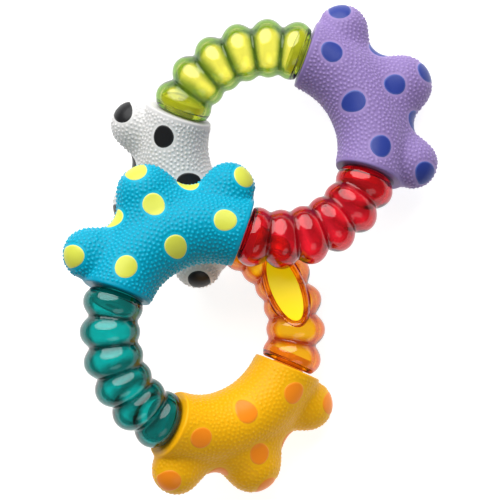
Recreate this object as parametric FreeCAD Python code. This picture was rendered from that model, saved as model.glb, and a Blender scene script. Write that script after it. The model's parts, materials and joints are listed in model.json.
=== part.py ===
"""Twisting teething ring: a closed chain of eight quarter-circle links, laid down as a figure of eight.

Four links are hollow beaded shells, each moulded as two halves. The other four are rigid curved cores
under a soft skin with three lobes and inlaid spots. A spindle pushed into each end of a core turns in
the end wall of the next shell, and its notched head clicks round inside a toothed ring.
"""
import FreeCAD, Part
import math
import os

Vector = FreeCAD.Vector
Placement = FreeCAD.Placement
Rotation = FreeCAD.Rotation

# ---- Chain ---------------------------------------------------------------------------------------
ARC_RADIUS = 35.0        # centre line of every link, a quarter of a circle
LINKS = ["blue", "teal", "yellow", "orange", "white", "lime", "purple", "red"]
BEADED = ["teal", "orange", "lime", "red"]
# Twist of the pivot after each link, degrees about the centre line, as the toy lies at rest
TWISTS = {
    "blue": -23.51, "teal": 8.32, "yellow": -35.07, "orange": 164.86,
    "white": 12.52, "lime": -27.32, "purple": 0.33, "red": 175.13,
}
FIRST_LINK_TILT = (72.81, 11.67, 10.93)  # yaw, pitch and roll that lay the chain on its three low points
END_GAP = 0.25           # from a pivot's mid plane to each of the two end faces
OPEN_PIVOT = "red"       # the pivot after this link has extra play
OPEN_SLACK = 0.35        # that extra play, on the radius and along the axis

# ---- Beaded shells -------------------------------------------------------------------------------
BEADS = 6
FIRST_BEAD = 6.5         # degrees along the link
BEAD_PITCH = 15.4
BEAD_RADIUS = 10.5       # across the link
BEAD_HALF_LENGTH = 7.4   # along the link
SHELL_WALL = 2.0
CAVITY_HALF_LENGTH = 6.4
END_WALL = 2.0
CHAMBER_RADIUS = 8.1     # seat of the click ring behind the end wall
CHAMBER_DEPTH = 2.4

# ---- Lobed links ---------------------------------------------------------------------------------
SKIN_RADIUS = 12.3
SKIN_EDGE = 1.0
CORE_RADIUS = 9.5
CORE_BORE = 7.0
SIDE_LOBE = (32.7, 14.2, 9.7)    # degrees from the middle, reach beyond the centre line, radius
MIDDLE_LOBE = (0.0, 17.1, 9.9)
WEB_LOBE = (16.4, 7.6, 7.3)      # fills the valley between two lobes
SPOT_DEPTH = 1.2
SPOT_RADIUS = 3.9
# Round spots seen square to the ring plane: degrees from the link's middle, distance from the arc's centre
FACE_SPOTS = [(-31.9, 35.9), (31.9, 35.9), (0.0, 29.6), (0.0, 46.3)]
EDGE_SPOTS = [(-38.0, 53.6), (0.0, 60.3), (38.0, 53.6), (-16.8, 51.7), (16.8, 51.7)]

# ---- Pivots --------------------------------------------------------------------------------------
PLUG_RADIUS = 7.4
PLUG_LENGTH = 5.0
JOURNAL_RADIUS = 5.6
JOURNAL_CLEARANCE = 0.06
HEAD_RADIUS = 6.95
HEAD_THICKNESS = 1.8
HEAD_CHAMFER = 0.3
HEAD_PLAY = 0.2
SPINDLE_BORE = 2.5
NOTCHES = 12
NOTCH_RADIUS = 0.95
NOTCH_DEPTH = 0.25
RING_RADIUS = 7.3        # inside of the click ring
RING_THICKNESS = 2.2
NIBS = 3
NIB_RADIUS = 0.9
NIB_CLEARANCE = 0.15

# ---- Oval plate ----------------------------------------------------------------------------------
OVAL_LINK = "orange"
BOSS_BASE = (14.4, 7.0, 5.5)     # half length, half width, height above the link's mid plane
BOSS_TOP = (13.9, 6.4, 10.4)
PLATE_HALF_LENGTH = 12.4
PLATE_HALF_WIDTH = 4.9
PLATE_THICKNESS = 1.0
PLATE_PROUD = 0.3

FAR = 80.0               # larger than any link
MIDDLE = 45.0            # degrees along a link
SEAM_ANGLE = 50.0        # turns a lobe's seam clear of its spots


# ---- Frames --------------------------------------------------------------------------------------
# In a link's own frame the arc's centre is the origin, the start pivot is on +X, the end pivot is on
# +Y and the ring plane is XY.

def chain_placements():
    """Placement of every link, before the toy is centred on its footprint."""
    yaw, pitch, roll = FIRST_LINK_TILT
    place = Placement(Vector(0, 0, 0), Rotation(yaw, pitch, roll))
    to_end = Placement(Vector(0, ARC_RADIUS, 0), Rotation(Vector(0, 0, 1), 90))
    to_centre = Placement(Vector(-ARC_RADIUS, 0, 0), Rotation())
    placements = {}
    for link in LINKS:
        placements[link] = place
        twist = Placement(Vector(0, 0, 0), Rotation(Vector(0, 1, 0), TWISTS[link]))
        place = place * to_end * twist * to_centre
    return placements


def start_pivot():
    """Frame of a link's start: Y runs along the centre line into the link."""
    return Placement(Vector(ARC_RADIUS, 0, 0), Rotation())


def end_pivot():
    """Frame of a link's end: Y runs along the centre line back into the link."""
    return Placement(Vector(0, ARC_RADIUS, 0), Rotation(Vector(0, 0, 1), -90))


def moved(shape, placement):
    """A copy of a shape carried by a placement."""
    return shape.transformed(placement.toMatrix(), True)


def along_link(shape, degrees, reach=ARC_RADIUS):
    """A shape drawn about the origin, carried to a place on a link; its Y follows the arc."""
    spin = Placement(Vector(0, 0, 0), Rotation(Vector(0, 0, 1), degrees))
    return moved(shape, spin * Placement(Vector(reach, 0, 0), Rotation()))


def quadrant(gap):
    """Everything between a link's two end planes, moved in by a gap."""
    return Part.makeBox(FAR, FAR, FAR, Vector(gap, gap, -FAR / 2))


# ---- Shapes --------------------------------------------------------------------------------------

def ellipsoid(half_width, half_length):
    """A bead about the Y axis, with its seam on top."""
    ellipse = Part.Ellipse(Vector(0, 0, 0), half_width, half_length)
    rim = Part.ArcOfEllipse(ellipse, -math.pi / 2, math.pi / 2).toBSpline().toShape()
    axis = Part.makeLine(Vector(0, half_length, 0), Vector(0, -half_length, 0))
    face = Part.Face(Part.Wire([rim, axis]))
    face.rotate(Vector(0, 0, 0), Vector(0, 1, 0), -90)
    return face.revolve(Vector(0, 0, 0), Vector(0, 1, 0), 360)


def bead_row(half_width, half_length):
    """The row of beads along a link, as one solid."""
    bead = ellipsoid(half_width, half_length)
    row = [along_link(bead, FIRST_BEAD + BEAD_PITCH * i) for i in range(BEADS)]
    return row[0].multiFuse(row[1:])


def tube(radius):
    """A solid round bar along the whole link."""
    circle = Part.makeCircle(radius, Vector(ARC_RADIUS, 0, 0), Vector(0, 1, 0))
    face = Part.Face(Part.Wire([circle]))
    return face.revolve(Vector(0, 0, 0), Vector(0, 0, 1), 90)


def disc(radius, start, length):
    """A round bar along the Y axis."""
    return Part.makeCylinder(radius, length, Vector(0, start, 0), Vector(0, 1, 0))


def turned(outline):
    """A solid turned about the Y axis from (radius, distance along Y) corners."""
    corners = [Vector(radius, along, 0) for radius, along in outline]
    face = Part.Face(Part.makePolygon(corners + corners[:1]))
    return face.revolve(Vector(0, 0, 0), Vector(0, 1, 0), 360)


def ellipse_wire(half_length, half_width, height):
    """A level ellipse whose long axis follows Y."""
    ellipse = Part.Ellipse(Vector(0, half_length, height), Vector(half_width, 0, height),
                           Vector(0, 0, height))
    return Part.Wire([ellipse.toShape()])


# ---- Beaded shells -------------------------------------------------------------------------------

def end_slack(link, at_end):
    """Extra play at one end of a shell."""
    return OPEN_SLACK if at_end and link == OPEN_PIVOT else 0.0


def shell_ends(link):
    """The two pivot frames of a shell, each with its extra play."""
    return [(start_pivot(), end_slack(link, False)), (end_pivot(), end_slack(link, True))]


def end_chamber(slack):
    """Bore through the end wall and the chamber behind it."""
    floor = END_GAP + END_WALL - slack
    bore = disc(JOURNAL_RADIUS + JOURNAL_CLEARANCE + slack, 0, END_GAP + END_WALL)
    chamber = disc(CHAMBER_RADIUS, floor, END_GAP + END_WALL + CHAMBER_DEPTH - floor)
    return bore.fuse(chamber)


def shell_body(link):
    """The closed hollow shell of one beaded link."""
    outside = bead_row(BEAD_RADIUS, BEAD_HALF_LENGTH)
    if link == OVAL_LINK:
        outside = outside.fuse(oval_boss()).cut(oval_plate())
    outside = outside.common(quadrant(END_GAP))
    cavity = bead_row(BEAD_RADIUS - SHELL_WALL, CAVITY_HALF_LENGTH)
    cavity = cavity.common(quadrant(END_GAP + END_WALL + CHAMBER_DEPTH))
    chambers = [moved(end_chamber(slack), pivot) for pivot, slack in shell_ends(link)]
    return outside.cut([cavity] + chambers)


def halves(shape, upper_first):
    """The two halves of a shape either side of the ring plane, upper half first."""
    above = shape.common(Part.makeBox(2 * FAR, 2 * FAR, FAR, Vector(-FAR, -FAR, 0)))
    below = shape.common(Part.makeBox(2 * FAR, 2 * FAR, FAR, Vector(-FAR, -FAR, -FAR)))
    return (above, below) if upper_first else (below, above)


def click_ring(slack):
    """Ring with inward nibs, seated behind the end wall."""
    floor = END_GAP + END_WALL - slack
    height = RING_THICKNESS + slack
    inside = RING_RADIUS + slack
    ring = disc(CHAMBER_RADIUS, floor, height).cut(disc(inside, floor, height))
    reach = HEAD_RADIUS + NIB_CLEARANCE + slack + NIB_RADIUS
    for i in range(NIBS):
        nib = moved(disc(NIB_RADIUS, floor, height), Placement(Vector(reach, 0, 0), Rotation()))
        nib = nib.common(disc((inside + CHAMBER_RADIUS) / 2, floor, height))
        nib.rotate(Vector(0, 0, 0), Vector(0, 1, 0), 360 / NIBS * i)
        ring = ring.fuse(nib)
    return ring.removeSplitter()


def beaded_link(link, upward):
    """All pieces of one beaded link, by name."""
    front, back = halves(shell_body(link), upward)
    pieces = {link + "_shell_front": front, link + "_shell_back": back}
    if link == OVAL_LINK:
        pieces[link + "_oval_plate"] = oval_plate()
    for side, (pivot, slack) in zip(("start", "end"), shell_ends(link)):
        pieces[link + "_click_ring_" + side] = moved(click_ring(slack), pivot)
    return pieces


# ---- Oval plate ----------------------------------------------------------------------------------

def oval_boss():
    """Sloped oval boss over the middle beads."""
    boss = Part.makeLoft([ellipse_wire(*BOSS_BASE), ellipse_wire(*BOSS_TOP)], True)
    return along_link(boss, MIDDLE)


def oval_plate():
    """Flat oval plate let into the top of the boss."""
    top = BOSS_TOP[2] + PLATE_PROUD
    face = Part.Face(ellipse_wire(PLATE_HALF_LENGTH, PLATE_HALF_WIDTH, top - PLATE_THICKNESS))
    return along_link(face.extrude(Vector(0, 0, PLATE_THICKNESS)), MIDDLE)


# ---- Lobed links ---------------------------------------------------------------------------------

def lobe(degrees, reach, radius):
    """A round-ended lobe that points away from the arc's centre."""
    corner = Vector(reach, radius, 0)
    peak = Vector(reach + radius, 0, 0)
    bulge = Vector(reach + radius * math.sqrt(0.5), radius * math.sqrt(0.5), 0)
    outline = [
        Part.makeLine(Vector(0, 0, 0), Vector(0, radius, 0)),
        Part.makeLine(Vector(0, radius, 0), corner),
        Part.Arc(corner, bulge, peak).toShape(),
        Part.makeLine(peak, Vector(0, 0, 0)),
    ]
    face = Part.Face(Part.Wire(outline))
    face.rotate(Vector(0, 0, 0), Vector(1, 0, 0), SEAM_ANGLE)
    return along_link(face.revolve(Vector(0, 0, 0), Vector(1, 0, 0), 360), MIDDLE + degrees)


def lobes(inset):
    """The three lobes and the webs between them, with their surface moved in by an inset."""
    shapes = [lobe(MIDDLE_LOBE[0], MIDDLE_LOBE[1], MIDDLE_LOBE[2] - inset)]
    for degrees, reach, radius in (SIDE_LOBE, WEB_LOBE):
        shapes += [lobe(side * degrees, reach, radius - inset) for side in (-1, 1)]
    return shapes


def rounded_tube():
    """The skin's tube with rounded end edges."""
    bar = tube(SKIN_RADIUS).common(quadrant(END_GAP))
    rims = []
    for edge in bar.Edges:
        box = edge.BoundBox
        if min(box.XLength, box.YLength) < 0.01 and box.ZLength > SKIN_RADIUS:
            rims.append(edge)
    return bar.makeFillet(SKIN_EDGE, rims)


def lobed_outside():
    """Outer shape of a lobed link."""
    return rounded_tube().multiFuse(lobes(0.0)).common(quadrant(END_GAP))


def skin_layer(outside):
    """The outermost layer of a lobed link, as thick as a spot is deep."""
    under = tube(SKIN_RADIUS - SPOT_DEPTH).multiFuse(lobes(SPOT_DEPTH))
    return outside.cut(under)


def spot_bar(degrees, distance):
    """Bar square to the ring plane that marks a spot on both faces, or round the outer edge."""
    bar = Part.makeCylinder(SPOT_RADIUS, FAR, Vector(0, 0, -FAR / 2))
    return along_link(bar, MIDDLE + degrees, distance)


def spots(layer):
    """The inlaid spots of a lobed link: one solid each, and two where a bar marks both faces."""
    solids = []
    for spot in FACE_SPOTS + EDGE_SPOTS:
        solids += layer.common(spot_bar(*spot)).Solids
    return Part.makeCompound(solids)


def core():
    """Rigid curved tube with a socket at each end."""
    bar = tube(CORE_RADIUS).common(quadrant(END_GAP))
    socket = disc(PLUG_RADIUS, 0, END_GAP + PLUG_LENGTH)
    return bar.cut([tube(CORE_BORE), moved(socket, start_pivot()), moved(socket, end_pivot())])


def spindle():
    """Spindle drawn with Y running into its own link: plug, journal and notched head."""
    neck = END_GAP + END_WALL + HEAD_PLAY
    top = neck + HEAD_THICKNESS
    outline = [
        (SPINDLE_BORE, END_GAP + PLUG_LENGTH), (PLUG_RADIUS, END_GAP + PLUG_LENGTH),
        (PLUG_RADIUS, END_GAP), (JOURNAL_RADIUS, END_GAP), (JOURNAL_RADIUS, -neck),
        (HEAD_RADIUS, -neck), (HEAD_RADIUS, HEAD_CHAMFER - top), (HEAD_RADIUS - HEAD_CHAMFER, -top),
        (SPINDLE_BORE, -top),
    ]
    body = turned(outline)
    reach = HEAD_RADIUS - NOTCH_DEPTH + NOTCH_RADIUS
    notches = []
    for i in range(NOTCHES):
        notch = moved(disc(NOTCH_RADIUS, -top, HEAD_THICKNESS), Placement(Vector(reach, 0, 0), Rotation()))
        notch.rotate(Vector(0, 0, 0), Vector(0, 1, 0), 360 / NOTCHES * i)
        notches.append(notch)
    return body.cut(notches)


def lobed_moulding():
    """Skin, spots, core and spindles shared by the four lobed links."""
    outside = lobed_outside()
    inlays = spots(skin_layer(outside))
    return {
        "skin": outside.cut([tube(CORE_RADIUS)] + inlays.Solids),
        "spots": inlays,
        "core": core(),
        "spindle_start": moved(spindle(), start_pivot()),
        "spindle_end": moved(spindle(), end_pivot()),
    }


# ---- Assembly ------------------------------------------------------------------------------------

def assembly():
    """Every node in place, with the toy centred on the floor."""
    placements = chain_placements()
    moulding = lobed_moulding()
    nodes = {}
    for link, place in placements.items():
        upward = place.Rotation.multVec(Vector(0, 0, 1)).z > 0
        if link in BEADED:
            pieces = beaded_link(link, upward)
        else:
            pieces = {link + "_" + name: shape for name, shape in moulding.items()}
        for name, shape in pieces.items():
            nodes[name] = moved(shape, place)
    return nodes


def footprint_shift(nodes):
    """Move that puts the origin under the middle of the toy, on the floor."""
    box = FreeCAD.BoundBox()
    for shape in nodes.values():
        box.add(shape.optimalBoundingBox(False))
    return Vector(-box.Center.x, -box.Center.y, -box.ZMin)


def main():
    """Write one file per node."""
    os.makedirs("parts", exist_ok=True)
    nodes = assembly()
    shift = Placement(footprint_shift(nodes), Rotation())
    for name, shape in nodes.items():
        moved(shape, shift).exportStep("parts/" + name + ".step")


main()
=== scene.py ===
"""Looks of the twisting teething ring: soft pimpled links, clear beaded links, floor, light, camera."""
import json
import math

import bpy
import numpy as np
from mathutils import Matrix, Vector
from mathutils.kdtree import KDTree


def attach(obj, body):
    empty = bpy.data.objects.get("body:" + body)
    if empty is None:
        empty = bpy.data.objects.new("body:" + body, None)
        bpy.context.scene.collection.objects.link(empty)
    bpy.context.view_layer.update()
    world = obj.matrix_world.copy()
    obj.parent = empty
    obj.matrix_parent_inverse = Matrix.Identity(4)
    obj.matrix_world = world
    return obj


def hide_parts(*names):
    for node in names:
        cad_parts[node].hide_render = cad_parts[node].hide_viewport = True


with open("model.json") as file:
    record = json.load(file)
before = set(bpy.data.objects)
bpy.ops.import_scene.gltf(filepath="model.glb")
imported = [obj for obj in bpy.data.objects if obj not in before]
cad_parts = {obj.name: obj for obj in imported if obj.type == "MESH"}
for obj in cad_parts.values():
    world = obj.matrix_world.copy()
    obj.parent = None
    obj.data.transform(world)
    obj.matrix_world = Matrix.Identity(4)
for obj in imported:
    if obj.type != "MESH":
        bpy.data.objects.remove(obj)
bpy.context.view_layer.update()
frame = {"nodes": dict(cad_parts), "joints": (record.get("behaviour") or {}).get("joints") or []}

MM = 0.001
SEED = 7

# ---- Driving dimensions, millimetres in a link's own frame ---------------------------------------
# In that frame the arc's centre is the origin, the start pivot is on +X, the end pivot is on +Y and
# Z is square to the ring plane.
BEADED = ("teal", "orange", "lime", "red")
LOBED = ("blue", "yellow", "white", "purple")
LINKS = ("blue", "teal", "yellow", "orange", "white", "lime", "purple", "red")
END_GAP = 0.25
MIDDLE = math.radians(45)

TUBE_RADIUS = 12.2
# Three lobes and the webs between them: degrees from the middle, reach beyond the centre line, radius
LOBES = ((33.3, 14.45, 8.9), (15.0, 5.1, 9.0), (0.0, 16.8, 10.3), (-15.0, 5.1, 9.0), (-33.3, 14.45, 8.9))
LOBE_BLEND = 9.0                   # softness of the valleys between lobes
TUBE_BLEND = 1.1                   # softness of the crease between tube and lobes
LOBE_FLATTEN = 1.15                # how much flatter than round the lobes are
END_ROUND = 0.8                    # softness of the edges round both end faces
SKIN_STEP = 0.33                   # spacing of the skin's mesh
SKIN_START = -0.7                  # where the space that the mesh is searched in starts, on X and Y
SKIN_HEIGHT = TUBE_RADIUS + 1.5    # half the height of that space
PIMPLE_PITCH = 1.42
PIMPLE_PACKING = 0.9               # how close two pimples may start, as a share of the pitch
PIMPLE_EVENING = 4                 # rounds of evening out the scatter
PIMPLE_RADIUS = 0.56
PIMPLE_POWER = 1.5                 # how steeply a pimple's side falls off
PIMPLE_HEIGHTS = {"blue": 0.44, "yellow": 0.22, "white": 0.42, "purple": 0.38}
PIMPLE_MARGIN = 1.0                # smooth ring round each spot
HALO_SHARE = 0.8                   # how much of that ring is paler
HALO_PAINT = 0.45                  # how pale it is, where a pimple's tip is 1
END_BAND = 1.2                     # smooth band at each end
SPOT_RADIUS = 3.9
SPOT_WAVES = (0.035, 0.02)         # heights of the two and the three waves round its outline
SPOT_WIDEST = 1.06                 # its widest reach, with room to spare, as a share of its radius
SPOT_LOWEST = 0.4                  # lowest height at which its mesh is searched
SPOT_TAPER = (0.6, 2.4)            # heights over mid plane where a spot ends and where it is full width
SPOT_STEP = 0.3
SPOT_PROUD = 0.14
SPOT_ROOT = 0.5                    # how far a spot reaches under the skin
SPOT_ROUNDING = 0.5
SPOT_EDGE = 0.55                   # width of a spot's paler rim
# Spots: degrees from the middle and distance from the arc's centre, seen square to the ring plane
FACE_SPOTS = ((-31.9, 35.9), (31.9, 35.9), (0.6, 29.6), (0.6, 46.3))
EDGE_SPOTS = ((-38.0, 53.6), (0.3, 60.3), (38.0, 53.9), (-16.8, 51.7), (16.8, 51.7))

BEAD_COUNT = 6
BEAD_PITCH = 15.4                  # degrees
FIRST_BEAD = 45 - BEAD_PITCH * (BEAD_COUNT - 1) / 2
BEADS = np.radians(FIRST_BEAD + BEAD_PITCH * np.arange(BEAD_COUNT))
# A row of beads: half width, half length, sharpness of the grooves, rounding of the two end edges
BEAD_OUTSIDE = (10.5, 7.4, 1.3, 0.5)
BEAD_CAVITY = (8.6, 6.6, 0.8, 0.3)
# Painted shade in the grooves between beads, standing for the thicker wall and refraction there: where
# it starts from a crest and over what it grows, in pitches; strength
GROOVE_START = 0.21
GROOVE_WIDTH = 0.26
GROOVE_STRENGTH = 0.8
BORE_RADIUS = 5.66
END_WALL = 2.0
OPEN_PLAY = 0.35                   # extra play at the pivot between the red and blue links

# Boss and plate of the oval: half length, half width and height of each ring, from the bottom up
BOSS_PROFILE = (
    (14.4, 7.0, 6.0), (14.3, 6.9, 9.4), (14.1, 6.7, 9.9), (13.7, 6.3, 10.05), (13.4, 6.0, 9.95),
    (13.3, 5.9, 10.35), (13.1, 5.7, 10.5), (12.7, 5.25, 10.5), (12.5, 5.0, 10.3),
)
PLATE_PROFILE = ((12.4, 4.9, 9.7), (12.4, 4.9, 10.55), (12.25, 4.75, 10.7), (11.6, 4.2, 10.75))
OVAL_TURNS = 120                   # points round each ring


# ---- Link frames ---------------------------------------------------------------------------------

def pivots():
    """Place and chain direction of each pivot, keyed by the link that it ends."""
    found = {}
    for joint in frame["joints"]:
        _, before, after = joint["name"].split("_")
        direction = Vector(joint["axis"]).normalized()
        if joint["child"].startswith(after):
            direction = -direction
        found[before] = (Vector(joint["pos_m"]), direction)
    return found


def link_frames():
    """World matrix of every link's own frame, from the pivots at its two ends."""
    ends = pivots()
    radius = (ends["teal"][0] - ends["blue"][0]).length / math.sqrt(2)
    # The open pivot between red and blue has no joint: its direction is the one that closes the chain
    last, first = ends["purple"], ends["blue"]
    closing = ((first[0] - last[0]) / radius - last[1] - first[1]) / 2
    ends["red"] = (last[0] + radius * (last[1] + closing), closing)
    frames = {}
    for i, link in enumerate(LINKS):
        place, along = ends[LINKS[i - 1]]
        inward = ends[link][1]
        axes = Matrix((-inward, along, (-inward).cross(along))).transposed()
        frames[link] = Matrix.Translation(place + radius * inward) @ axes.to_4x4()
    return frames, radius / MM


FRAMES, ARC = link_frames()


# ---- Mesh helpers --------------------------------------------------------------------------------

def facing_out(points, faces):
    """Faces of a closed mesh, turned so that they face outwards."""
    a, b, c = (points[faces[:, k]] for k in range(3))
    volume = np.einsum("ij,ij->i", a, np.cross(b, c)).sum()
    if faces.shape[1] == 4:
        d = points[faces[:, 3]]
        volume += np.einsum("ij,ij->i", a, np.cross(c, d)).sum()
    return faces if volume > 0 else faces[:, ::-1]


def add_piece(name, points, faces, link, material, replaced=(), sharp=None):
    """A mesh object from points in a link's frame, riding on that link."""
    faces = facing_out(points, faces)
    mesh = bpy.data.meshes.new(name)
    points = np.asarray(points, dtype=np.float64) * MM
    faces = np.asarray(faces, dtype=np.int32)
    mesh.vertices.add(len(points))
    mesh.vertices.foreach_set("co", points.astype(np.float32).ravel())
    mesh.loops.add(faces.size)
    mesh.loops.foreach_set("vertex_index", faces.ravel())
    mesh.polygons.add(len(faces))
    corner = faces.shape[1]
    mesh.polygons.foreach_set("loop_start", np.arange(len(faces), dtype=np.int32) * corner)
    mesh.update(calc_edges=True)
    mesh.validate()
    mesh.transform(FRAMES[link])
    mesh.shade_smooth()
    if sharp:
        mesh.set_sharp_from_angle(angle=math.radians(sharp))
    mesh.materials.append(material)
    piece = bpy.data.objects.new(name, mesh)
    bpy.context.scene.collection.objects.link(piece)
    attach(piece, link + "_link")
    if replaced:
        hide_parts(*replaced)
    return piece


def set_values(piece, name, values):
    """Store one number for each point of a piece, for its material to read."""
    layer = piece.data.attributes.new(name, "FLOAT", "POINT")
    layer.data.foreach_set("value", values.astype(np.float32))


def grid_faces(rows, columns, close_rows=False):
    """Quads of a rows x columns grid of points, whose rows are closed rings."""
    i = np.arange(rows if close_rows else rows - 1)
    a, c = np.meshgrid(i, np.arange(columns), indexing="ij")
    b, d = (a + 1) % rows, (c + 1) % columns
    quads = np.stack([a * columns + c, a * columns + d, b * columns + d, b * columns + c], axis=-1)
    return quads.reshape(-1, 4)


def nearest(places, points):
    """Index and distance of the nearest place to each point."""
    tree = KDTree(len(places))
    for i, place in enumerate(places):
        tree.insert(place, i)
    tree.balance()
    found = [tree.find(p)[1:] for p in points]
    return np.array([f[0] for f in found]), np.array([f[1] for f in found])


# ---- Shape of a lobed link -----------------------------------------------------------------------

def smooth_min(a, b, softness):
    """Union of two distances with a rounded valley."""
    h = np.clip(0.5 + 0.5 * (b - a) / softness, 0, 1)
    return b + (a - b) * h - softness * h * (1 - h)


def lobe_axis(degrees):
    """Direction from the arc's centre, at an angle from the middle of the link."""
    angle = MIDDLE + math.radians(degrees)
    return np.array([math.cos(angle), math.sin(angle), 0.0])


def skin_distance(p):
    """Signed distance from a lobed link's smooth surface."""
    x, y, z = p[..., 0], p[..., 1], p[..., 2]
    tube = np.hypot(np.hypot(x, y) - ARC, z) - TUBE_RADIUS
    arms = None
    for degrees, reach, radius in LOBES:
        axis = lobe_axis(degrees)
        along = np.clip(x * axis[0] + y * axis[1], ARC, ARC + reach)
        flat = LOBE_FLATTEN * z
        gap = np.sqrt((x - axis[0] * along) ** 2 + (y - axis[1] * along) ** 2 + flat ** 2) - radius
        arms = gap if arms is None else smooth_min(arms, gap, LOBE_BLEND)
    body = smooth_min(tube, arms, TUBE_BLEND)
    for wall in (x, y):
        body = -smooth_min(-body, wall - END_GAP, END_ROUND)
    return body


def gradient(f, p, step=0.02):
    """Unit gradient of a distance field."""
    g = np.stack([f(p + step * e) - f(p - step * e) for e in np.eye(3)], axis=-1)
    return g / np.linalg.norm(g, axis=-1, keepdims=True)


def settle(p, rounds=4):
    """Points moved on to the skin's smooth surface."""
    for _ in range(rounds):
        p = p - skin_distance(p)[..., None] * gradient(skin_distance, p)
    return p


def surface_net(low, high, step):
    """Quad mesh of the smooth skin on a regular grid, with one point in each cell that it crosses."""
    axes = [np.arange(a, b + step, step) for a, b in zip(low, high)]
    shape = [len(a) for a in axes]
    field = np.empty(shape, dtype=np.float32)
    for k, z in enumerate(axes[2]):
        x, y = np.meshgrid(axes[0], axes[1], indexing="ij")
        field[:, :, k] = skin_distance(np.stack([x, y, np.full_like(x, z)], axis=-1))
    inside = field < 0
    # How many corners of each cell are inside: the surface crosses those with some in and some out
    cells = [n - 1 for n in shape]
    count = np.zeros(cells, dtype=np.int8)
    for dx in (0, 1):
        for dy in (0, 1):
            for dz in (0, 1):
                count += inside[dx:dx + cells[0], dy:dy + cells[1], dz:dz + cells[2]]
    active = (count > 0) & (count < 8)
    number = np.full(cells, -1, dtype=np.int64)
    number[active] = np.arange(active.sum())
    where = np.argwhere(active)
    points = np.array(low) + (where + 0.5) * step
    # One quad round each grid edge that crosses the surface, facing outwards
    quads = []
    for axis in range(3):
        u, v = (axis + 1) % 3, (axis + 2) % 3
        first = [slice(None)] * 3
        second = [slice(None)] * 3
        first[axis], second[axis] = slice(0, -1), slice(1, None)
        crossing = inside[tuple(first)] != inside[tuple(second)]
        at = np.argwhere(crossing)
        at = at[(at[:, u] > 0) & (at[:, v] > 0) & (at[:, u] < cells[u]) & (at[:, v] < cells[v])]
        outward = inside[tuple(first)][tuple(at.T)]
        corners = []
        for du, dv in ((1, 1), (0, 1), (0, 0), (1, 0)):
            c = at.copy()
            c[:, u] -= du
            c[:, v] -= dv
            corners.append(number[tuple(c.T)])
        quad = np.stack(corners, axis=1)
        quad[~outward] = quad[~outward][:, ::-1]
        quads.append(quad)
    return points, np.concatenate(quads)


# ---- Spots ---------------------------------------------------------------------------------------

def wobble(turn, seed):
    """Factor on a spot's radius that makes its outline slightly uneven."""
    rng = np.random.default_rng(seed)
    phase = rng.uniform(0, 2 * math.pi, 2)
    return 1 + SPOT_WAVES[0] * np.sin(2 * turn + phase[0]) + SPOT_WAVES[1] * np.sin(3 * turn + phase[1])


def spot_centres():
    """Centres of all spots in the ring plane."""
    return [lobe_axis(degrees)[:2] * distance for degrees, distance in FACE_SPOTS + EDGE_SPOTS]


def spot_reach(p, centre, seed):
    """Distance from a spot's axis, and how far the spot reaches, which is nothing near mid plane."""
    x, y = p[:, 0] - centre[0], p[:, 1] - centre[1]
    end, full = SPOT_TAPER
    narrowing = np.clip((full - np.abs(p[:, 2])) / (full - end), 0, 1)
    return np.hypot(x, y), SPOT_RADIUS * wobble(np.arctan2(y, x), seed) * np.sqrt(1 - narrowing ** 2)


def inside_spot(p, margin):
    """True where a point lies within a margin of any spot's outline."""
    within = np.zeros(len(p), dtype=bool)
    for seed, centre in enumerate(spot_centres()):
        away, reach = spot_reach(p, centre, SEED + seed)
        within |= away < reach + margin
    return within


def cut_to_outline(points, triangles, level):
    """The part of a mesh where level is below zero, cut cleanly along its zero line."""
    points, level = list(points), list(level)
    made, kept = {}, []

    def crossing(a, b):
        key = (min(a, b), max(a, b))
        if key not in made:
            made[key] = len(points)
            share = level[a] / (level[a] - level[b])
            points.append(points[a] + share * (points[b] - points[a]))
            level.append(0.0)
        return made[key]

    for corners in triangles:
        inner = [level[c] < 0 for c in corners]
        if all(inner):
            kept.append(tuple(corners))
        elif any(inner):
            # The odd corner is alone on its side of the line
            odd = inner.index(sum(inner) == 1)
            a, b, c = (corners[(odd + k) % 3] for k in range(3))
            ab, ac = crossing(a, b), crossing(a, c)
            kept += [(a, ab, ac)] if sum(inner) == 1 else [(ab, b, c), (ab, c, ac)]
    used, kept = np.unique(np.array(kept), return_inverse=True)
    return np.array(points)[used], kept.reshape(-1, 3)


def boundary(triangles):
    """Directed edges that only one triangle has."""
    edges = {(t[i], t[(i + 1) % 3]) for t in triangles.tolist() for i in range(3)}
    return np.array([e for e in edges if (e[1], e[0]) not in edges])


def spot_mesh(centre, seed, low, high):
    """One spot as a thin closed cap with a rounded rim, and each point's nearness to its rim."""
    reach = SPOT_RADIUS * SPOT_WIDEST + 2 * SPOT_STEP
    corner = np.array([centre[0] - reach, centre[1] - reach, low])
    points, quads = surface_net(corner, (centre[0] + reach, centre[1] + reach, high), SPOT_STEP)
    points = settle(points, 4)
    triangles = np.concatenate([quads[:, [0, 1, 2]], quads[:, [0, 2, 3]]])
    away, spread = spot_reach(points, centre, seed)
    points, triangles = cut_to_outline(points, triangles, away - spread)
    rim = boundary(triangles)
    _, away = nearest(points[np.unique(rim)], points)
    normals = gradient(skin_distance, points)
    rounding = np.clip(1 - away / SPOT_ROUNDING, 0, 1)
    top = points + (SPOT_PROUD * (1 - rounding ** 2))[:, None] * normals
    under = points - SPOT_ROOT * normals
    count = len(points)
    sides = np.concatenate([
        np.stack([rim[:, 1], rim[:, 0], rim[:, 0] + count], axis=1),
        np.stack([rim[:, 1], rim[:, 0] + count, rim[:, 1] + count], axis=1),
    ])
    faces = np.concatenate([triangles, triangles[:, ::-1] + count, sides])
    edge = np.clip(1 - away / SPOT_EDGE, 0, 1)
    return np.concatenate([top, under]), faces, np.concatenate([edge, edge])


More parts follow.
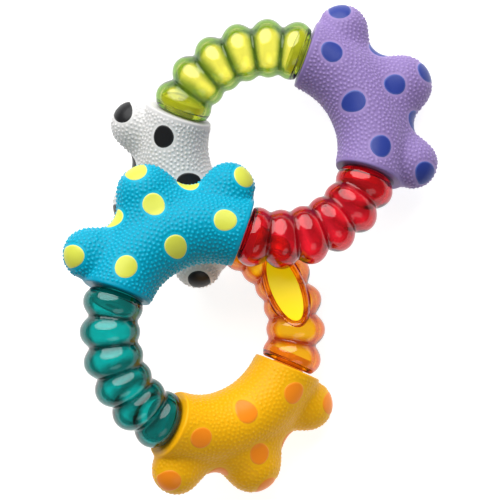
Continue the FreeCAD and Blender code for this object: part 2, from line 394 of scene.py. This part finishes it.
def all_spots():
    """The spots of front and back together: points, triangles and nearness to the rim."""
    points, triangles, edges, base = [], [], [], 0
    for i, centre in enumerate(spot_centres()):
        for low, high in ((SPOT_LOWEST, SKIN_HEIGHT), (-SKIN_HEIGHT, -SPOT_LOWEST)):
            p, t, e = spot_mesh(centre, SEED + i, low, high)
            points.append(p)
            triangles.append(t + base)
            edges.append(e)
            base += len(p)
    return np.concatenate(points), np.concatenate(triangles), np.concatenate(edges)


# ---- Pimpled skin --------------------------------------------------------------------------------

def pimpled(p, margin):
    """True where a point is clear of every spot's outline and of the end bands."""
    clear = (p[:, 0] > END_GAP + END_BAND) & (p[:, 1] > END_GAP + END_BAND)
    return clear & ~inside_spot(p, margin)


def pimple_centres(p):
    """Evenly scattered pimple centres: a random packing, then a few rounds of evening out."""
    rng = np.random.default_rng(SEED)
    pool = p[pimpled(p, PIMPLE_MARGIN)]
    pool = pool[rng.permutation(len(pool))]
    cell = PIMPLE_PITCH * PIMPLE_PACKING
    taken, chosen = {}, []
    for point in pool:
        key = tuple((point // cell).astype(int))
        clash = False
        for dx in (-1, 0, 1):
            for dy in (-1, 0, 1):
                for dz in (-1, 0, 1):
                    other = taken.get((key[0] + dx, key[1] + dy, key[2] + dz))
                    if other is not None and np.sum((other - point) ** 2) < cell * cell:
                        clash = True
        if not clash:
            taken[key] = point
            chosen.append(point)
    centres = np.array(chosen)
    for _ in range(PIMPLE_EVENING):
        index = nearest(centres, pool)[0]
        total = np.zeros_like(centres)
        np.add.at(total, index, pool)
        share = np.bincount(index, minlength=len(centres))
        used = share > 0
        centres = settle(total[used] / share[used][:, None], 2)
    return centres[pimpled(centres, PIMPLE_MARGIN)]


def skin_mesh():
    """Smooth lobed shape, the direction and share of each point's pimple, and its paler paint from 0 to
    1: a painted highlight on the pimple tips and a paler ring round the spots.
    """
    _, lobe_reach, lobe_radius = LOBES[len(LOBES) // 2]
    far = ARC + lobe_reach + lobe_radius + 1.0
    low, high = (SKIN_START, SKIN_START, -SKIN_HEIGHT), (far, far, SKIN_HEIGHT)
    points, quads = surface_net(low, high, SKIN_STEP)
    points = settle(points, 5)
    centres = pimple_centres(points)
    _, away = nearest(centres, points)
    rise = np.clip(1 - (away / PIMPLE_RADIUS) ** 2, 0, 1) ** PIMPLE_POWER
    normals = gradient(skin_distance, points)
    halo = inside_spot(points, PIMPLE_MARGIN * HALO_SHARE) * HALO_PAINT
    return points, quads, rise[:, None] * normals, np.maximum(rise, halo)


# ---- Shape of a beaded link ----------------------------------------------------------------------

def bead_reach(phi, psi, half_width, half_length, sharpness):
    """Distance from the centre line to a row of beads, at place phi along the arc and direction psi.

    Each bead is an ellipsoid. The farthest hit of a ray from the centre line counts, softly blended.
    """
    total = np.zeros(np.broadcast(phi, psi).shape)
    c, s = np.cos(psi), np.sin(psi)
    for bead in BEADS:
        offset = phi - bead
        across, along = np.cos(offset), np.sin(offset)
        a = (c ** 2 * across ** 2 + s ** 2) / half_width ** 2 + (c * along) ** 2 / half_length ** 2
        b = c * across * ARC * (across - 1) / half_width ** 2 + c * along ** 2 * ARC / half_length ** 2
        d = (ARC * (across - 1)) ** 2 / half_width ** 2 + (ARC * along) ** 2 / half_length ** 2 - 1
        root = b * b - a * d
        hit = (-b + np.sqrt(np.maximum(root, 0))) / a
        hit = np.where((root > 0) & (hit > 0), hit, 0)
        total += np.exp(sharpness * (hit - half_width))
    return half_width + np.log(total) / sharpness


def arc_points(phi, psi, reach):
    """Points at a distance from the centre line."""
    ring = ARC + reach * np.cos(psi)
    return np.stack([ring * np.cos(phi), ring * np.sin(phi), reach * np.sin(psi)], axis=-1)


def bead_surface(beads, wall, rows, turns, guess=0.85, rounds=12):
    """Grid of points of a row of beads between two end planes, and the directions of its columns."""
    half_width, half_length, sharpness, rounding = beads
    psi = np.linspace(0, 2 * math.pi, turns, endpoint=False)[None, :]
    share = np.linspace(0, 1, rows)[:, None]
    # Each column meets the end plane at its own place, which some rounds find from a guess of its reach
    reach = np.full((1, turns), half_width * guess)
    for _ in range(rounds):
        first = np.arcsin(wall / (ARC + reach * np.cos(psi)))
        reach = bead_reach(first, psi, half_width, half_length, sharpness)
    phi = first + (math.pi / 2 - 2 * first) * share
    reach = bead_reach(phi, psi, half_width, half_length, sharpness)
    ring = ARC + reach * np.cos(psi)
    depth = np.minimum(ring * np.sin(phi), ring * np.cos(phi)) - wall
    shy = np.clip(rounding - depth, 0, rounding)
    # Near the end planes the reach shrinks along a quarter circle, which rounds the edge
    reach = reach - (rounding - np.sqrt(rounding ** 2 - shy ** 2))
    return arc_points(phi, psi, reach), psi[0]


def disc_rows(psi, radius, depth):
    """Rings of a round bore at both ends, at a depth from the pivot planes."""
    x, z = ARC + radius * np.cos(psi), radius * np.sin(psi)
    y = np.full_like(psi, depth)
    return np.stack([x, y, z], axis=-1), np.stack([y, x, z], axis=-1)


def bead_shell(play, rows=230, turns=180, inner_rows=120):
    """Closed hollow shell with a bore in each end wall, and the painted shade of each point in the
    grooves between beads.
    """
    inside = END_GAP + END_WALL - play
    outer, psi = bead_surface(BEAD_OUTSIDE, END_GAP, rows, turns)
    inner, _ = bead_surface(BEAD_CAVITY, inside, inner_rows, turns)
    start_out, end_out = disc_rows(psi, BORE_RADIUS + play, END_GAP)
    start_in, end_in = disc_rows(psi, BORE_RADIUS + play, inside)
    end, start = np.stack([end_out, end_in]), np.stack([start_in, start_out])
    loop = np.concatenate([outer, end, inner[::-1], start])
    points = loop.reshape(-1, 3)
    place = np.arctan2(points[:, 1], points[:, 0])
    from_crest = np.abs(place[:, None] - BEADS).min(axis=1) / (BEADS[1] - BEADS[0])
    # Painted shade: darker towards the middle of each groove.
    groove_shade = np.clip((from_crest - GROOVE_START) / GROOVE_WIDTH, 0, 1)
    shade = GROOVE_STRENGTH * groove_shade * groove_shade * (3 - 2 * groove_shade)
    return points, grid_faces(len(loop), turns, close_rows=True), shade


# ---- Oval boss and plate -------------------------------------------------------------------------

def oval_rings(profile):
    """Points and quads of a stack of ellipses over the middle of a link."""
    turn = np.linspace(0, 2 * math.pi, OVAL_TURNS, endpoint=False)
    rows = []
    for half_length, half_width, height in profile:
        u, v = half_length * np.sin(turn), half_width * np.cos(turn)
        x = (ARC + v) * math.cos(MIDDLE) - u * math.sin(MIDDLE)
        y = (ARC + v) * math.sin(MIDDLE) + u * math.cos(MIDDLE)
        rows.append(np.stack([x, y, np.full_like(x, height)], axis=-1))
    return np.concatenate(rows), grid_faces(len(rows), OVAL_TURNS)


def oval_solid(profile):
    """Points and triangles of an oval solid with both ends closed."""
    points, quads = oval_rings(profile)
    low = points[:OVAL_TURNS].mean(axis=0, keepdims=True)
    high = points[-OVAL_TURNS:].mean(axis=0, keepdims=True)
    whole = np.concatenate([points, low, high])
    j = np.arange(OVAL_TURNS)
    after = (j + 1) % OVAL_TURNS
    last = len(points) - OVAL_TURNS
    bottom = np.stack([np.full(OVAL_TURNS, len(points)), after, j], axis=1)
    top = np.stack([np.full(OVAL_TURNS, len(points) + 1), last + j, last + after], axis=1)
    split = np.concatenate([quads[:, [0, 1, 2]], quads[:, [0, 2, 3]], bottom, top])
    return whole, split


# ---- Materials -----------------------------------------------------------------------------------

# Values of Layer Weight's Facing between which a clear plastic takes on its painted outline shade
OUTLINE_BAND = (0.26, 0.52)
# Factors on a colour between which its faint clouds change it
SKIN_CLOUDS = (0.94, 1.06)
SPOT_CLOUDS = (1.0, 1.12)
GLOSS_CLOUDS = (1.0, 0.95)

# Colours of a skin and of its pimples' tips, which are paler as a painted highlight
SKIN_LOOKS = {
    "blue": ((0.0, 0.305, 0.46), (0.0, 0.50, 0.70)),
    "yellow": ((0.93, 0.45, 0.004), (0.98, 0.54, 0.01)),
    "white": ((0.63, 0.62, 0.61), (0.77, 0.76, 0.75)),
    "purple": ((0.25, 0.175, 0.41), (0.37, 0.27, 0.55)),
}
# Material slot, colour and rim colour of the spots on each skin
SPOT_LOOKS = {
    "blue": ("yellow_spot_rubber", (0.60, 0.63, 0.07), (0.76, 0.78, 0.20)),
    "yellow": ("orange_spot_rubber", (0.97, 0.27, 0.010), (0.97, 0.36, 0.02)),
    "white": ("black_spot_rubber", (0.010, 0.010, 0.011), (0.05, 0.05, 0.05)),
    "purple": ("blue_spot_rubber", (0.022, 0.042, 0.25), (0.10, 0.14, 0.42)),
}
# Clear plastics: tint face on, painted shade tint towards the outline, colour left after depth, its
# strength per metre
CLEAR_LOOKS = {
    "lime": ((1.0, 0.93, 0.45), (0.05, 0.19, 0.0), (0.74, 0.82, 0.10), 250.0),
    "red": ((0.97, 0.37, 0.47), (0.36, 0.0, 0.08), (0.94, 0.05, 0.22), 780.0),
    "teal": ((0.02, 0.92, 0.90), (0.0, 0.12, 0.115), (0.01, 0.62, 0.60), 600.0),
    "orange": ((1.0, 0.90, 0.28), (0.52, 0.07, 0.0), (0.985, 0.79, 0.05), 600.0),
}
# Spindles and click rings, seen through the clear plastic
INNER_LOOKS = {
    "lime": (0.62, 0.66, 0.07), "red": (0.72, 0.03, 0.06),
    "teal": (0.01, 0.42, 0.40), "orange": (0.95, 0.36, 0.03),
}
OVAL_LOOK = (0.98, 0.74, 0.0)
CORE_SHADE = 0.5                   # how dark a core is beside its skin


def new_material(name):
    """An empty material with its node tree and its main shader."""
    material = bpy.data.materials.new(name)
    material.use_nodes = True
    shader = material.node_tree.nodes["Principled BSDF"]
    return material, material.node_tree, shader


def node(tree, kind, **values):
    """New node; each value is one of its settings or, where it has none of that name, a socket."""
    made = tree.nodes.new(kind)
    for key, value in values.items():
        if hasattr(made, key):
            setattr(made, key, value)
        else:
            made.inputs[key].default_value = value
    return made


def noise(tree, scale, detail):
    """Output of a noise texture that is fixed to the piece."""
    texture = node(tree, "ShaderNodeTexNoise", Scale=scale, Detail=detail)
    place = node(tree, "ShaderNodeTexCoord")
    tree.links.new(place.outputs["Object"], texture.inputs["Vector"])
    return texture.outputs["Fac"]


def point_values(tree, name):
    """Output of the numbers that set_values stored under a name."""
    return node(tree, "ShaderNodeAttribute", attribute_name=name).outputs["Fac"]


def blended(tree, share, first, second):
    """Output between two colours; the first may be another output."""
    mix = node(tree, "ShaderNodeMix", data_type="RGBA")
    tree.links.new(share, mix.inputs["Factor"])
    if isinstance(first, tuple):
        mix.inputs["A"].default_value = (*first, 1)
    else:
        tree.links.new(first, mix.inputs["A"])
    mix.inputs["B"].default_value = (*second, 1)
    return mix.outputs["Result"]


def scaled(colour, factor):
    """Paler or darker colour."""
    return tuple(c * factor for c in colour)


def cloudy(tree, colour, clouds, scale, detail):
    """Output of a colour with faint clouds in it."""
    low, high = clouds
    return blended(tree, noise(tree, scale, detail), scaled(colour, low), scaled(colour, high))


def bumpy(tree, shader, height, strength, distance):
    """Let a height output tilt the shader's normal."""
    bump = node(tree, "ShaderNodeBump", Strength=strength, Distance=distance)
    tree.links.new(height, bump.inputs["Height"])
    tree.links.new(bump.outputs["Normal"], shader.inputs["Normal"])


def rubber(name, colour, tip_highlight):
    """Soft pimpled rubber: pimple tips paler as a painted highlight, faint cloudiness, fine grain."""
    material, tree, shader = new_material(name)
    ground = cloudy(tree, colour, SKIN_CLOUDS, scale=60.0, detail=3.0)
    # Pimple tips are paler as a painted highlight.
    highlighted = blended(tree, point_values(tree, "pimple"), ground, tip_highlight)
    tree.links.new(highlighted, shader.inputs["Base Color"])
    bumpy(tree, shader, noise(tree, scale=2500.0, detail=2.0), strength=0.15, distance=0.0001)
    shader.inputs["Roughness"].default_value = 0.34
    shader.inputs["Specular IOR Level"].default_value = 0.13
    return material


def smooth_rubber(name, colour, edge):
    """Spot rubber: smooth, with faint cloudiness and a paler rim."""
    material, tree, shader = new_material(name)
    ground = cloudy(tree, colour, SPOT_CLOUDS, scale=140.0, detail=3.0)
    rimmed = blended(tree, point_values(tree, "rim"), ground, edge)
    tree.links.new(rimmed, shader.inputs["Base Color"])
    shader.inputs["Roughness"].default_value = 0.33
    shader.inputs["Specular IOR Level"].default_value = 0.25
    return material


def clear_plastic(name, tint, edge, depth_colour, density):
    """Clear tinted plastic: painted shade in the grooves and towards its outline, and darker where it is
    thick.
    """
    material, tree, shader = new_material(name)
    bumpy(tree, shader, noise(tree, scale=90.0, detail=1.0), strength=0.05, distance=0.0004)
    # Painted shade: darker tint towards the outline and in the grooves, standing for light lost through
    # the thick wall and dark surroundings seen by refraction.
    facing = node(tree, "ShaderNodeLayerWeight", Blend=0.5)
    band = node(tree, "ShaderNodeMapRange", interpolation_type="SMOOTHSTEP")
    band.inputs["From Min"].default_value = OUTLINE_BAND[0]
    band.inputs["From Max"].default_value = OUTLINE_BAND[1]
    tree.links.new(facing.outputs["Facing"], band.inputs["Value"])
    darker = node(tree, "ShaderNodeMath", operation="MAXIMUM")
    tree.links.new(band.outputs["Result"], darker.inputs[0])
    tree.links.new(point_values(tree, "groove_shade"), darker.inputs[1])
    colour = blended(tree, darker.outputs["Value"], tint, edge)
    tree.links.new(colour, shader.inputs["Base Color"])
    shader.inputs["Roughness"].default_value = 0.02
    shader.inputs["IOR"].default_value = 1.49
    shader.inputs["Transmission Weight"].default_value = 1.0
    depth = node(tree, "ShaderNodeVolumeAbsorption", Density=density)
    depth.inputs["Color"].default_value = (*depth_colour, 1)
    output = tree.nodes["Material Output"]
    tree.links.new(depth.outputs["Volume"], output.inputs["Volume"])
    return material


def gloss(name, colour, roughness, glow=0.0):
    """Smooth opaque plastic, faintly cloudy; glow stands for light that comes through it."""
    material, tree, shader = new_material(name)
    ground = cloudy(tree, colour, GLOSS_CLOUDS, scale=200.0, detail=2.0)
    tree.links.new(ground, shader.inputs["Base Color"])
    shader.inputs["Emission Color"].default_value = (*colour, 1)
    shader.inputs["Emission Strength"].default_value = glow
    shader.inputs["Roughness"].default_value = roughness
    return material


# ---- Pieces --------------------------------------------------------------------------------------

def build_lobed_links():
    """A pimpled skin and its spots on each of the four soft links."""
    points, quads, lift, tip_highlight_and_halo = skin_mesh()
    spot_points, spot_triangles, spot_edges = all_spots()
    for link in LOBED:
        colour, tip_highlight = SKIN_LOOKS[link]
        skin = add_piece(link + "_pimpled_skin", points + PIMPLE_HEIGHTS[link] * lift, quads, link,
                         rubber(link + "_rubber_look", colour, tip_highlight), [link + "_skin"])
        # Paler pimple tips are a painted highlight; the ring round each spot is paler too.
        set_values(skin, "pimple", tip_highlight_and_halo)
        slot, inner, outer = SPOT_LOOKS[link]
        spots = add_piece(link + "_smooth_spots", spot_points, spot_triangles, link,
                          smooth_rubber(slot + "_look", inner, outer), [link + "_spots"], sharp=60)
        set_values(spots, "rim", spot_edges)


def build_beaded_links():
    """A hollow shell on each of the four clear links; returns their materials."""
    looks = {}
    for link in BEADED:
        points, quads, groove_shade = bead_shell(OPEN_PLAY if link == "red" else 0.0)
        looks[link] = clear_plastic(link + "_clear_look", *CLEAR_LOOKS[link])
        shell = add_piece(link + "_clear_shell", points, quads, link, looks[link],
                          [link + "_shell_front", link + "_shell_back"], sharp=50)
        set_values(shell, "groove_shade", groove_shade)
    return looks


def build_oval(boss_look):
    """The boss on the orange link, in the link's own plastic, and the plate that sits on it."""
    points, faces = oval_solid(BOSS_PROFILE)
    add_piece("orange_oval_boss", points, faces, "orange", boss_look, sharp=35)
    points, faces = oval_solid(PLATE_PROFILE)
    # The plate's glow is painted light, standing for light that comes through it.
    plate_look = gloss("oval_yellow_look", OVAL_LOOK, roughness=0.3, glow=0.42)
    add_piece("orange_plate_face", points, faces, "orange", plate_look,
              ["orange_oval_plate"], sharp=35)


def dress(name, look):
    """Give a CAD node another material."""
    slots = frame["nodes"][name].data.materials
    slots.clear()
    slots.append(look)


def dress_inner_nodes():
    """Pivot pieces take the colour of the clear link around them and a painted glow, cores a darker one
    of their skin.
    """
    inner = {}
    for link in BEADED:
        # The glow is painted light, standing for light that comes through the clear link.
        inner[link] = gloss(link + "_pivot_look", INNER_LOOKS[link], roughness=0.35, glow=0.3)
    for i, link in enumerate(LINKS):
        if link in BEADED:
            for side in ("start", "end"):
                dress(link + "_click_ring_" + side, inner[link])
        else:
            dress(link + "_spindle_start", inner[LINKS[i - 1]])
            dress(link + "_spindle_end", inner[LINKS[(i + 1) % len(LINKS)]])
            shade = scaled(SKIN_LOOKS[link][0], CORE_SHADE)
            dress(link + "_core", gloss(link + "_core_look", shade, roughness=0.5))


# ---- Stage ---------------------------------------------------------------------------------------

# Direction from the toy to the camera and distance in metres; lens and sensor in millimetres
CAMERA_TOWARDS = Vector((0.142, -0.031, 0.989)).normalized()
CAMERA_UP = Vector((0.0, 1.0, 0.031))
CAMERA_DISTANCE = 0.948
CAMERA_LENS = 193.5
CAMERA_SENSOR = 36.0
CAMERA_SHIFT = (0.0232, -0.0268)
CAMERA_RANGE = (0.05, 20.0)

# Area lights: place and size in metres, power in watts
KEY_LIGHT = ((-0.20, 0.95, 0.85), (1.95, 1.65), 33.0)
FILL_LIGHT = ((0.35, -0.95, 0.75), (0.9, 0.6), 1.6)
WORLD_LIGHT = 0.16

FLOOR_SIZE = 6.0
FLOOR_HEIGHT = -0.0005
FLOOR_GLOW = (0.85, 0.1)           # under the toy and far away
FLOOR_FADE = (0.16, 0.9)           # distances between which the glow fades
FLOOR_GREY = (0.45, 0.45, 0.45)


def build_camera():
    """Camera nearly straight above, turned to the mean of the eight pivots; returns that place."""
    data = bpy.data.cameras.new("camera")
    data.lens = CAMERA_LENS
    data.sensor_width = CAMERA_SENSOR
    data.shift_x, data.shift_y = CAMERA_SHIFT
    data.clip_start, data.clip_end = CAMERA_RANGE
    camera = bpy.data.objects.new("camera", data)
    bpy.context.scene.collection.objects.link(camera)
    starts = [FRAMES[link] @ Vector((ARC * MM, 0, 0)) for link in LINKS]
    target = sum(starts, Vector()) / len(starts)
    right = CAMERA_UP.cross(CAMERA_TOWARDS).normalized()
    up = CAMERA_TOWARDS.cross(right)
    axes = Matrix((right, up, CAMERA_TOWARDS)).transposed().to_4x4()
    camera.matrix_world = Matrix.Translation(target + CAMERA_DISTANCE * CAMERA_TOWARDS) @ axes
    bpy.context.scene.camera = camera
    return target


def area_light(name, target, place, size, power):
    """Elliptical softbox turned to the target."""
    data = bpy.data.lights.new(name, "AREA")
    data.shape = "ELLIPSE"
    data.size, data.size_y = size
    data.energy = power
    lamp = bpy.data.objects.new(name, data)
    bpy.context.scene.collection.objects.link(lamp)
    lamp.location = place
    lamp.rotation_mode = "QUATERNION"
    lamp.rotation_quaternion = (target - Vector(place)).to_track_quat("-Z", "Y")


def floor_look():
    """Pale floor that glows softly under the toy and fades with distance."""
    material, tree, shader = new_material("floor_look")
    place = node(tree, "ShaderNodeTexCoord")
    away = node(tree, "ShaderNodeVectorMath", operation="LENGTH")
    tree.links.new(place.outputs["Object"], away.inputs[0])
    glow = node(tree, "ShaderNodeMapRange")
    glow.inputs["From Min"].default_value, glow.inputs["From Max"].default_value = FLOOR_FADE
    glow.inputs["To Min"].default_value, glow.inputs["To Max"].default_value = FLOOR_GLOW
    tree.links.new(away.outputs["Value"], glow.inputs["Value"])
    tree.links.new(glow.outputs["Result"], shader.inputs["Emission Strength"])
    shader.inputs["Emission Color"].default_value = (1, 1, 1, 1)
    shader.inputs["Base Color"].default_value = (*FLOOR_GREY, 1)
    shader.inputs["Roughness"].default_value = 0.9
    shader.inputs["Specular IOR Level"].default_value = 0.0
    return material


def build_stage(target):
    """Floor, even light from all round, and the two softboxes."""
    bpy.ops.mesh.primitive_plane_add(size=FLOOR_SIZE, location=(0, 0, FLOOR_HEIGHT))
    floor = bpy.context.object
    floor.name = "floor"
    floor.data.materials.append(floor_look())
    world = bpy.data.worlds.new("world")
    bpy.context.scene.world = world
    world.use_nodes = True
    background = world.node_tree.nodes["Background"]
    background.inputs["Color"].default_value = (1, 1, 1, 1)
    background.inputs["Strength"].default_value = WORLD_LIGHT
    area_light("key", target, *KEY_LIGHT)
    area_light("fill", target, *FILL_LIGHT)
    bpy.context.scene.view_settings.view_transform = "Standard"


build_lobed_links()
CLEAR_MATERIALS = build_beaded_links()
build_oval(CLEAR_MATERIALS["orange"])
dress_inner_nodes()
build_stage(build_camera())
